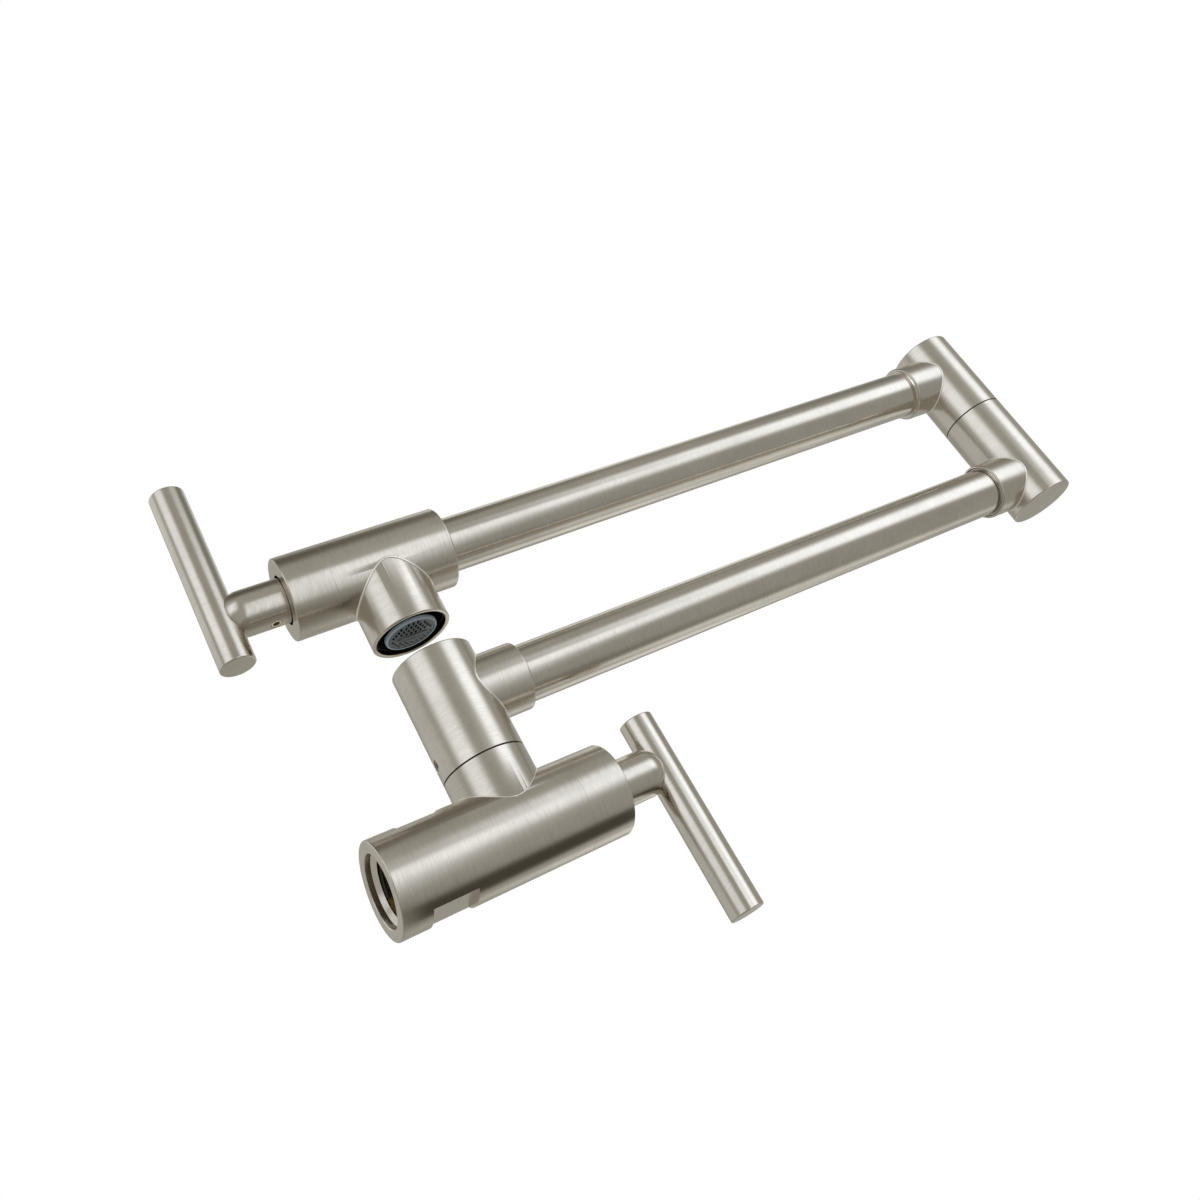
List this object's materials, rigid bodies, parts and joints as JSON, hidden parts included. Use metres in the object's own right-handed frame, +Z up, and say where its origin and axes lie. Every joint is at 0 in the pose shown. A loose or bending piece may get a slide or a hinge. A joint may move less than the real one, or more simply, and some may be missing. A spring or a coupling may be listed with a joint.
{
  "type": "wall mounted pot filler",
  "caption": "Wall mounted pot filler tap: a lever valve on the wall, folding swivel arms and a second lever valve with a downward spout",
  "frame": {"origin": "centre of the inlet face, on the wall valve's axis", "axes": "+Y towards the wall along the inlet's axis, +Z up along the swivels, +X to the right for someone who faces the wall"},
  "size_m": [0.0556, 0.3501, 0.2143],
  "materials": {
    "nickel_body": "satin nickel plate on cast and turned brass, brushed round each axis",
    "nickel_tube": "satin nickel plate on drawn brass tube",
    "nickel_handle": "satin nickel plate on turned brass",
    "raw_brass": "turned brass, unplated",
    "valve_ceramic": "lapped alumina",
    "rubber_seal": "black nitrile rubber, greased",
    "bearing_plastic": "dark bearing plastic",
    "screw_steel": "plain stainless steel",
    "aerator_plastic": "moulded blue-grey plastic",
    "aerator_mesh_steel": "woven stainless wire"
  },
  "bodies": {
    "wall_valve": {"wall_valve_body": "nickel_body", "wall_bonnet": "nickel_body", "wall_cartridge_body": "raw_brass", "wall_cartridge_oring": "rubber_seal", "wall_fixed_disc": "valve_ceramic", "wall_seat_seal": "rubber_seal", "neck_spigot": "raw_brass", "neck_orings": "rubber_seal", "neck_thrust_washer": "bearing_plastic"},
    "wall_handle": {"wall_spindle": "raw_brass", "wall_spindle_oring": "rubber_seal", "wall_spindle_clip": "screw_steel", "wall_turning_disc": "valve_ceramic", "wall_handle_hub": "nickel_handle", "wall_handle_bar": "nickel_handle", "wall_handle_set_screw": "screw_steel"},
    "lower_arm": {"base_tee": "nickel_body", "base_tee_set_screw": "screw_steel", "lower_tube": "nickel_tube", "elbow_lower_body": "nickel_body", "elbow_spigot": "raw_brass", "elbow_orings": "rubber_seal", "elbow_thrust_washer": "bearing_plastic"},
    "upper_arm": {"elbow_tee": "nickel_body", "elbow_tee_set_screw": "screw_steel", "upper_tube": "nickel_tube", "outlet_body": "nickel_body", "outlet_bonnet": "nickel_body", "outlet_cartridge_body": "raw_brass", "outlet_cartridge_oring": "rubber_seal", "outlet_fixed_disc": "valve_ceramic", "outlet_seat_seal": "rubber_seal", "aerator_housing": "aerator_plastic", "aerator_insert": "aerator_plastic", "aerator_mesh": "aerator_mesh_steel", "aerator_washer": "rubber_seal"},
    "outlet_handle": {"outlet_spindle": "raw_brass", "outlet_spindle_oring": "rubber_seal", "outlet_spindle_clip": "screw_steel", "outlet_turning_disc": "valve_ceramic", "outlet_handle_hub": "nickel_handle", "outlet_handle_bar": "nickel_handle", "outlet_handle_set_screw": "screw_steel"}
  },
  "joints": [
    {"name": "wall_handle_turn", "type": "hinge", "parent": "wall_valve", "child": "wall_handle", "pos_m": [0, -0.0795, 0], "axis": [0, -1, 0], "range_deg": [0, 90]},
    {"name": "lower_arm_swing", "type": "hinge", "parent": "wall_valve", "child": "lower_arm", "pos_m": [0, -0.0455, 0.0228], "axis": [0, 0, 1], "range_deg": [-86, 94]},
    {"name": "elbow_swing", "type": "hinge", "parent": "lower_arm", "child": "upper_arm", "pos_m": [-0.01925, -0.32083, 0.1063], "axis": [0, 0, 1], "continuous": true},
    {"name": "outlet_handle_turn", "type": "hinge", "parent": "upper_arm", "child": "outlet_handle", "pos_m": [0.0048, -0.04588, 0.1063], "axis": [0.0872, 0.9962, 0], "range_deg": [0, 90]}
  ]
}
